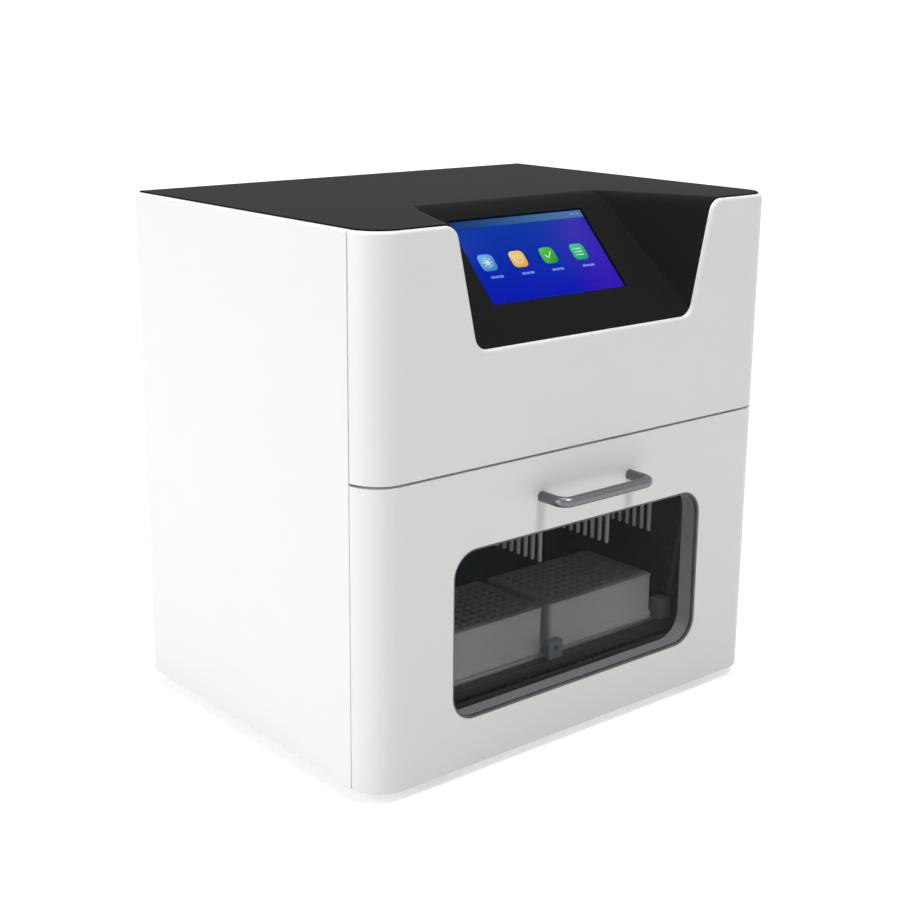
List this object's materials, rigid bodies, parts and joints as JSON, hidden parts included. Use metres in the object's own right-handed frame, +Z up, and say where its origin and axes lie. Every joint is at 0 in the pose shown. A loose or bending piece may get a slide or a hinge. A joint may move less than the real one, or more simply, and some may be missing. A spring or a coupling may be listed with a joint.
{
  "type": "nucleic acid extractor",
  "caption": "Bench nucleic acid extractor: white cabinet with dark top and sloped touch screen, drop-down windowed door, two deep-well plates, magnetic rod head on a belt-driven carriage.",
  "frame": {"origin": "on the bench, under the middle of the cabinet with its handle", "axes": "+X to the right seen from the front, +Y towards the rear, +Z up; the door faces -Y"},
  "size_m": [0.44, 0.36, 0.4452],
  "materials": {
    "white_panel": "satin white powder coat",
    "white_moulding": "satin white moulding",
    "dark_cover": "fine matte charcoal",
    "steel_sheet": "zinc-plated sheet",
    "chamber_dark": "dark grey-blue paint",
    "rubber_black": "black rubber",
    "smoked_pane": "smoked clear acrylic",
    "screen_glass": "clear cover glass",
    "screen_blue": "lit display",
    "liner_grey": "light grey moulding",
    "handle_steel": "satin stainless bar",
    "rail_steel": "ground steel",
    "polished_steel": "polished",
    "aluminium": "clear anodised",
    "plate_plastic": "natural polypropylene",
    "sleeve_plastic": "natural polypropylene",
    "stop_grey": "grey anodised",
    "motor_black": "black lacquer",
    "black_metal": "black gloss lacquer",
    "black_plastic": "black moulding",
    "board_green": "solder mask",
    "lamp_glass": "clear quartz",
    "rocker_red": "red moulding"
  },
  "bodies": {
    "housing": {"base_plate": "steel_sheet", "rubber_feet": "rubber_black", "left_side_panel": "white_panel", "right_side_panel": "white_panel", "rear_panel": "white_panel", "top_cover": "dark_cover", "front_cover": "white_moulding", "front_bulkhead": "steel_sheet", "door_seal": "rubber_black", "chamber_left_wall": "chamber_dark", "chamber_right_wall": "chamber_dark", "chamber_back_wall": "chamber_dark", "chamber_floor": "chamber_dark", "plate_carrier": "aluminium", "heater_block": "aluminium", "left_well_plate": "plate_plastic", "right_well_plate": "plate_plastic", "plate_stops": "stop_grey", "x_rails": "rail_steel", "x_motor": "motor_black", "x_belt": "rubber_black", "idler_axle": "rail_steel", "uv_lamp": "lamp_glass", "fan_frame": "black_plastic", "power_inlet": "black_plastic", "power_supply": "steel_sheet", "control_board": "board_green", "touch_glass": "screen_glass", "lcd_panel": "screen_blue", "display_bracket": "steel_sheet", "hinge_brackets": "rail_steel", "hinge_pins": "rail_steel", "rear_screws": "rail_steel", "back_post": "aluminium"},
    "door": {"door_shell": "white_moulding", "door_liner": "liner_grey", "door_window": "smoked_pane", "window_gasket": "rubber_black", "door_handle": "handle_steel", "handle_screws": "rail_steel", "hinge_knuckles": "rail_steel", "strut_bracket": "rail_steel", "catch_magnets": "rail_steel"},
    "strut_cylinder": {"strut_tube": "black_metal"},
    "strut_piston": {"strut_rod": "polished_steel"},
    "gantry": {"gantry_plate": "aluminium", "x_bearings": "rail_steel", "z_rails": "rail_steel", "lift_motor": "motor_black"},
    "sleeve_carriage": {"sleeve_frame": "aluminium", "sleeve_combs": "sleeve_plastic", "magnet_motor": "motor_black"},
    "magnet_carriage": {"magnet_bar": "aluminium", "magnet_rods": "rail_steel"},
    "drive_pulley": {"x_drive_pulley": "aluminium"},
    "idler_pulley": {"x_idler_pulley": "aluminium"},
    "lift_spindle": {"lift_screw": "polished_steel"},
    "magnet_spindle": {"magnet_screw": "polished_steel"},
    "rocker": {"power_rocker": "rocker_red"},
    "fan_wheel": {"fan_rotor": "black_plastic"}
  },
  "joints": [
    {"name": "door_hinge", "type": "hinge", "parent": "housing", "child": "door", "pos_m": [0, -0.141, 0.016], "axis": [1, 0, 0], "range_deg": [0, 78]},
    {"name": "strut_swing", "type": "hinge", "parent": "housing", "child": "strut_cylinder", "pos_m": [0.16, -0.1, 0.07], "axis": [1, 0, 0], "range_deg": [-1, 82]},
    {"name": "strut_slide", "type": "slide", "parent": "strut_cylinder", "child": "strut_piston", "axis": [0, -0.1789, 0.9839], "range_m": [-0.001, 0.087]},
    {"name": "head_traverse", "type": "slide", "parent": "housing", "child": "gantry", "axis": [1, 0, 0], "range_m": [-0.063, 0]},
    {"name": "sleeve_lift", "type": "slide", "parent": "gantry", "child": "sleeve_carriage", "axis": [0, 0, 1], "range_m": [-0.077, 0]},
    {"name": "magnet_lift", "type": "slide", "parent": "sleeve_carriage", "child": "magnet_carriage", "axis": [0, 0, 1], "range_m": [0, 0.05]},
    {"name": "drive_pulley_spin", "type": "hinge", "parent": "housing", "child": "drive_pulley", "pos_m": [0.152, 0.041, 0.29], "axis": [0, 1, 0], "range_deg": [-405, 5]},
    {"name": "idler_pulley_spin", "type": "hinge", "parent": "housing", "child": "idler_pulley", "pos_m": [-0.152, 0.041, 0.29], "axis": [0, 1, 0], "range_deg": [-405, 5]},
    {"name": "lift_spindle_turn", "type": "hinge", "parent": "gantry", "child": "lift_spindle", "pos_m": [0.0405, 0.011, 0.29], "axis": [0, 0, 1], "range_deg": [-2780, 10]},
    {"name": "magnet_spindle_turn", "type": "hinge", "parent": "sleeve_carriage", "child": "magnet_spindle", "pos_m": [0.0405, -0.032, 0.24], "axis": [0, 0, 1], "range_deg": [-10, 1810]},
    {"name": "power_rocker_tilt", "type": "hinge", "parent": "housing", "child": "rocker", "pos_m": [0.15, 0.172, 0.117], "axis": [1, 0, 0], "range_deg": [-16, 0]},
    {"name": "fan_spin", "type": "hinge", "parent": "housing", "child": "fan_wheel", "pos_m": [-0.13, 0.163, 0.34], "axis": [0, 1, 0], "continuous": true}
  ],
  "couplings": [
    {"joint": "strut_swing", "follows": "door_hinge", "ratio": 1.0174},
    {"joint": "strut_slide", "follows": "door_hinge", "m_per_rad": 0.062615},
    {"joint": "drive_pulley_spin", "follows": "head_traverse", "rad_per_m": 110.5},
    {"joint": "idler_pulley_spin", "follows": "head_traverse", "rad_per_m": 110.5},
    {"joint": "lift_spindle_turn", "follows": "sleeve_lift", "rad_per_m": 628.32},
    {"joint": "magnet_spindle_turn", "follows": "magnet_lift", "rad_per_m": 628.32}
  ]
}
